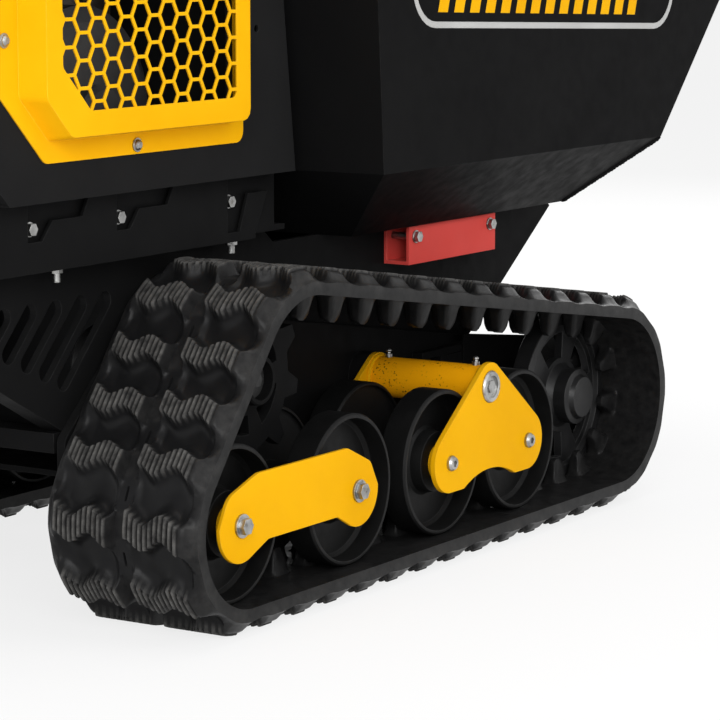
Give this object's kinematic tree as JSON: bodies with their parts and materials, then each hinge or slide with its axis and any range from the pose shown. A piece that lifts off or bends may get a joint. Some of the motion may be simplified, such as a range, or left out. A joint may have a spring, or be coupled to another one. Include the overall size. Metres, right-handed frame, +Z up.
{
  "type": "tracked power carrier",
  "caption": "Walk-behind mini dumper on rubber tracks, with an engine housing, honeycomb side grilles, control levers and a front skip that tips forward on a hydraulic cylinder.",
  "frame": {"origin": "on the ground, at the centre of the machine's box seen from above", "axes": "+X forward, the way the skip tips, +Y to the machine's left, +Z up"},
  "size_m": [1.763, 0.74, 1.032],
  "materials": {
    "frame_paint": "semi-gloss black powder coat",
    "yellow_paint": "satin yellow powder coat",
    "red_paint": "satin red powder coat",
    "track_rubber": "matt rubber",
    "wheel_plastic": "moulded black plastic",
    "zinc_steel": "bright zinc plate",
    "cast_alloy": "cast",
    "cast_iron": "grey paint",
    "exhaust_steel": "heat-stained",
    "moulded_plastic": "fine texture",
    "grip_rubber": "matt rubber"
  },
  "bodies": {
    "chassis": {"chassis_frame": "frame_paint", "side_skirts": "frame_paint", "track_frame_right": "frame_paint", "track_frame_left": "frame_paint", "track_right": "track_rubber", "track_left": "track_rubber", "rear_axles": "zinc_steel", "tie_plate_right": "yellow_paint", "tie_plate_left": "yellow_paint", "bogie_pins": "zinc_steel", "drive_motors": "cast_iron", "skip_pins": "zinc_steel", "cylinder_base_pin": "zinc_steel", "housing_right": "frame_paint", "housing_left": "frame_paint", "grille_right": "yellow_paint", "grille_left": "yellow_paint", "hood": "frame_paint", "console": "moulded_plastic", "engine": "cast_alloy", "muffler": "exhaust_steel", "air_filter": "moulded_plastic", "fuel_tank": "moulded_plastic", "hydraulic_pump": "cast_iron", "hydraulic_tank": "moulded_plastic", "control_valve": "cast_iron", "handlebar": "frame_paint", "handle_grips": "grip_rubber", "safety_prop": "red_paint", "frame_bolts": "zinc_steel", "grille_screws": "zinc_steel"},
    "skip": {"skip": "frame_paint"},
    "cylinder_barrel": {"cylinder_barrel": "frame_paint"},
    "cylinder_rod": {"cylinder_rod": "zinc_steel", "cylinder_rod_pin": "zinc_steel"},
    "sprocket_right": {"sprocket_right": "frame_paint", "drive_shaft_right": "cast_iron"},
    "idler_slide_right": {"idler_slide_right": "frame_paint"},
    "idler_right": {"idler_right": "frame_paint"},
    "bogie_right": {"bogie_right": "yellow_paint", "bogie_axles_right": "zinc_steel"},
    "wheels_1_right": {"wheels_1_right": "wheel_plastic"},
    "wheels_2_right": {"wheels_2_right": "wheel_plastic"},
    "wheels_3_right": {"wheels_3_right": "wheel_plastic"},
    "wheels_4_right": {"wheels_4_right": "wheel_plastic"},
    "sprocket_left": {"sprocket_left": "frame_paint", "drive_shaft_left": "cast_iron"},
    "idler_slide_left": {"idler_slide_left": "frame_paint"},
    "idler_left": {"idler_left": "frame_paint"},
    "bogie_left": {"bogie_left": "yellow_paint", "bogie_axles_left": "zinc_steel"},
    "wheels_1_left": {"wheels_1_left": "wheel_plastic"},
    "wheels_2_left": {"wheels_2_left": "wheel_plastic"},
    "wheels_3_left": {"wheels_3_left": "wheel_plastic"},
    "wheels_4_left": {"wheels_4_left": "wheel_plastic"},
    "drive_lever_right": {"drive_lever_right": "moulded_plastic"},
    "drive_lever_left": {"drive_lever_left": "moulded_plastic"},
    "tip_lever": {"tip_lever": "moulded_plastic"},
    "throttle_lever": {"throttle_lever": "moulded_plastic"},
    "fuel_cap": {"fuel_cap": "moulded_plastic"}
  },
  "joints": [
    {"name": "skip_tip", "type": "hinge", "parent": "chassis", "child": "skip", "pos_m": [0.54052, 0, 0.31], "axis": [0, 1, 0], "range_deg": [0, 60]},
    {"name": "barrel_swing", "type": "hinge", "parent": "chassis", "child": "cylinder_barrel", "pos_m": [0.27052, 0, 0.185], "axis": [0, -1, 0], "range_deg": [0, 8]},
    {"name": "rod_slide", "type": "slide", "parent": "cylinder_barrel", "child": "cylinder_rod", "axis": [0.794, 0, 0.6079], "range_m": [0, 0.085]},
    {"name": "sprocket_spin_right", "type": "hinge", "parent": "chassis", "child": "sprocket_right", "pos_m": [-0.27448, -0.28, 0.234], "axis": [0, 1, 0], "continuous": true, "deforming": ["track_right"]},
    {"name": "track_tension_right", "type": "slide", "parent": "chassis", "child": "idler_slide_right", "axis": [1, 0, 0], "range_m": [-0.02, 0], "deforming": ["track_right"]},
    {"name": "idler_spin_right", "type": "hinge", "parent": "idler_slide_right", "child": "idler_right", "pos_m": [0.39474, -0.28, 0.1268], "axis": [0, 1, 0], "continuous": true},
    {"name": "bogie_rock_right", "type": "hinge", "parent": "chassis", "child": "bogie_right", "pos_m": [0.10252, -0.28, 0.1818], "axis": [0, 1, 0], "range_deg": [-5, 5], "deforming": ["track_right"]},
    {"name": "wheels_1_spin_right", "type": "hinge", "parent": "chassis", "child": "wheels_1_right", "pos_m": [-0.38448, -0.28, 0.1088], "axis": [0, 1, 0], "continuous": true},
    {"name": "wheels_2_spin_right", "type": "hinge", "parent": "chassis", "child": "wheels_2_right", "pos_m": [-0.17048, -0.28, 0.1088], "axis": [0, 1, 0], "continuous": true},
    {"name": "wheels_3_spin_right", "type": "hinge", "parent": "bogie_right", "child": "wheels_3_right", "pos_m": [0.01652, -0.28, 0.1088], "axis": [0, 1, 0], "continuous": true},
    {"name": "wheels_4_spin_right", "type": "hinge", "parent": "bogie_right", "child": "wheels_4_right", "pos_m": [0.18852, -0.28, 0.1088], "axis": [0, 1, 0], "continuous": true},
    {"name": "sprocket_spin_left", "type": "hinge", "parent": "chassis", "child": "sprocket_left", "pos_m": [-0.27448, 0.28, 0.234], "axis": [0, 1, 0], "continuous": true, "deforming": ["track_left"]},
    {"name": "track_tension_left", "type": "slide", "parent": "chassis", "child": "idler_slide_left", "axis": [1, 0, 0], "range_m": [-0.02, 0], "deforming": ["track_left"]},
    {"name": "idler_spin_left", "type": "hinge", "parent": "idler_slide_left", "child": "idler_left", "pos_m": [0.39474, 0.28, 0.1268], "axis": [0, 1, 0], "continuous": true},
    {"name": "bogie_rock_left", "type": "hinge", "parent": "chassis", "child": "bogie_left", "pos_m": [0.10252, 0.28, 0.1818], "axis": [0, 1, 0], "range_deg": [-5, 5], "deforming": ["track_left"]},
    {"name": "wheels_1_spin_left", "type": "hinge", "parent": "chassis", "child": "wheels_1_left", "pos_m": [-0.38448, 0.28, 0.1088], "axis": [0, 1, 0], "continuous": true},
    {"name": "wheels_2_spin_left", "type": "hinge", "parent": "chassis", "child": "wheels_2_left", "pos_m": [-0.17048, 0.28, 0.1088], "axis": [0, 1, 0], "continuous": true},
    {"name": "wheels_3_spin_left", "type": "hinge", "parent": "bogie_left", "child": "wheels_3_left", "pos_m": [0.01652, 0.28, 0.1088], "axis": [0, 1, 0], "continuous": true},
    {"name": "wheels_4_spin_left", "type": "hinge", "parent": "bogie_left", "child": "wheels_4_left", "pos_m": [0.18852, 0.28, 0.1088], "axis": [0, 1, 0], "continuous": true},
    {"name": "drive_lever_push_right", "type": "hinge", "parent": "chassis", "child": "drive_lever_right", "pos_m": [-0.60948, -0.08, 0.861], "axis": [0, 1, 0], "range_deg": [-15, 15], "stiffness_Nm_per_rad": 3},
    {"name": "drive_lever_push_left", "type": "hinge", "parent": "chassis", "child": "drive_lever_left", "pos_m": [-0.60948, 0.08, 0.861], "axis": [0, 1, 0], "range_deg": [-15, 15], "stiffness_Nm_per_rad": 3},
    {"name": "tip_lever_push", "type": "hinge", "parent": "chassis", "child": "tip_lever", "pos_m": [-0.60948, 0, 0.861], "axis": [0, 1, 0], "range_deg": [-15, 15], "stiffness_Nm_per_rad": 3},
    {"name": "throttle_push", "type": "hinge", "parent": "chassis", "child": "throttle_lever", "pos_m": [-0.60948, 0.15, 0.861], "axis": [0, 1, 0], "range_deg": [0, 35]},
    {"name": "fuel_cap_turn", "type": "hinge", "parent": "chassis", "child": "fuel_cap", "pos_m": [-0.34448, 0, 0.8063], "axis": [0, 0, 1], "range_deg": [0, 90]}
  ],
  "couplings": [
    {"joint": "barrel_swing", "follows": "skip_tip", "ratio": 0.0516},
    {"joint": "rod_slide", "follows": "skip_tip", "m_per_rad": 0.07368},
    {"joint": "idler_spin_right", "follows": "sprocket_spin_right", "ratio": 0.9312},
    {"joint": "wheels_1_spin_right", "follows": "sprocket_spin_right", "ratio": 1.1294},
    {"joint": "wheels_2_spin_right", "follows": "sprocket_spin_right", "ratio": 1.1937},
    {"joint": "wheels_3_spin_right", "follows": "sprocket_spin_right", "ratio": 1.1937},
    {"joint": "wheels_4_spin_right", "follows": "sprocket_spin_right", "ratio": 1.1937},
    {"joint": "idler_spin_left", "follows": "sprocket_spin_left", "ratio": 0.9312},
    {"joint": "wheels_1_spin_left", "follows": "sprocket_spin_left", "ratio": 1.1294},
    {"joint": "wheels_2_spin_left", "follows": "sprocket_spin_left", "ratio": 1.1937},
    {"joint": "wheels_3_spin_left", "follows": "sprocket_spin_left", "ratio": 1.1937},
    {"joint": "wheels_4_spin_left", "follows": "sprocket_spin_left", "ratio": 1.1937}
  ]
}
